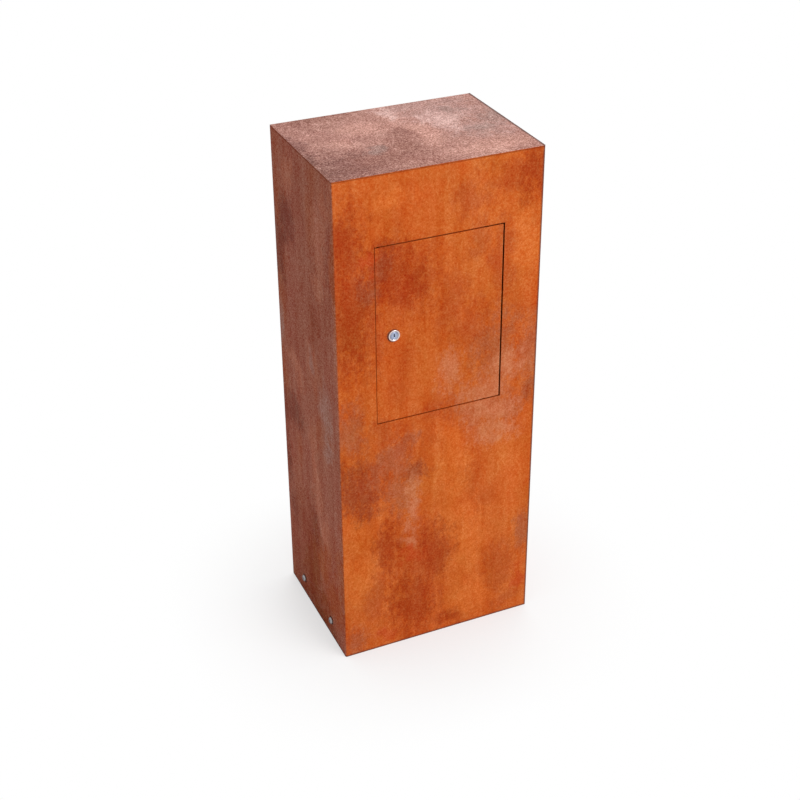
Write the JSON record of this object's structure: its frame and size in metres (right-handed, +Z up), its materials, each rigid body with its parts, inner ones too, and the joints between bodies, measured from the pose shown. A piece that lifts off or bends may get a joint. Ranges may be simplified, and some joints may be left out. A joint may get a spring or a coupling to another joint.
{
  "type": "pillar mailbox",
  "caption": "Free-standing mailbox of rusted steel sheet, with a flush locking door in front and a letter slot with a hanging flap behind.",
  "frame": {"origin": "on the ground under the middle of the column", "axes": "+Z up, -Y out of the front that holds the pickup door, +X to the right of someone facing the door"},
  "size_m": [0.4094, 0.2995, 1.006],
  "materials": {
    "rusted_steel": "rusted",
    "inner_steel": "rusted",
    "zinc_steel": "galvanised",
    "stainless": "satin",
    "chrome": "polished",
    "nylon": "matte"
  },
  "bodies": {
    "column": {"column_wrap": "rusted_steel", "rear_panel": "rusted_steel", "top_plate": "rusted_steel", "mail_floor": "inner_steel", "strike_angle": "inner_steel", "door_stop_top": "inner_steel", "door_stop_bottom": "inner_steel", "hinge_bracket_upper": "inner_steel", "hinge_bracket_lower": "inner_steel", "hinge_pin_upper": "stainless", "hinge_pin_lower": "stainless", "thrust_washer_upper": "nylon", "thrust_washer_lower": "nylon", "flap_ear_left": "inner_steel", "flap_ear_right": "inner_steel", "flap_rod": "stainless", "rod_clip": "stainless", "foot_plate": "zinc_steel", "foot_screw_left_front": "stainless", "foot_screw_left_rear": "stainless", "foot_screw_right_front": "stainless", "foot_screw_right_rear": "stainless", "rivet_nut_left_front": "zinc_steel", "rivet_nut_left_rear": "zinc_steel", "rivet_nut_right_front": "zinc_steel", "rivet_nut_right_rear": "zinc_steel"},
    "door": {"door_leaf": "rusted_steel", "hinge_strip": "inner_steel", "lock_body": "chrome", "lock_washer": "zinc_steel", "lock_nut": "zinc_steel"},
    "lock_core": {"lock_plug": "chrome", "lock_cam": "zinc_steel", "cam_washer": "zinc_steel", "cam_screw": "zinc_steel"},
    "flap": {"letter_flap": "inner_steel"}
  },
  "joints": [
    {"name": "door_hinge", "type": "hinge", "parent": "column", "child": "door", "pos_m": [0.11, -0.1375, 0.6975], "axis": [0, 0, 1], "range_deg": [0, 100]},
    {"name": "lock_turn", "type": "hinge", "parent": "door", "child": "lock_core", "pos_m": [-0.09, -0.1259, 0.6975], "axis": [0, 1, 0], "range_deg": [0, 90]},
    {"name": "flap_swing", "type": "hinge", "parent": "column", "child": "flap", "pos_m": [0, 0.1419, 0.9305], "axis": [-1, 0, 0], "range_deg": [0, 75]}
  ]
}
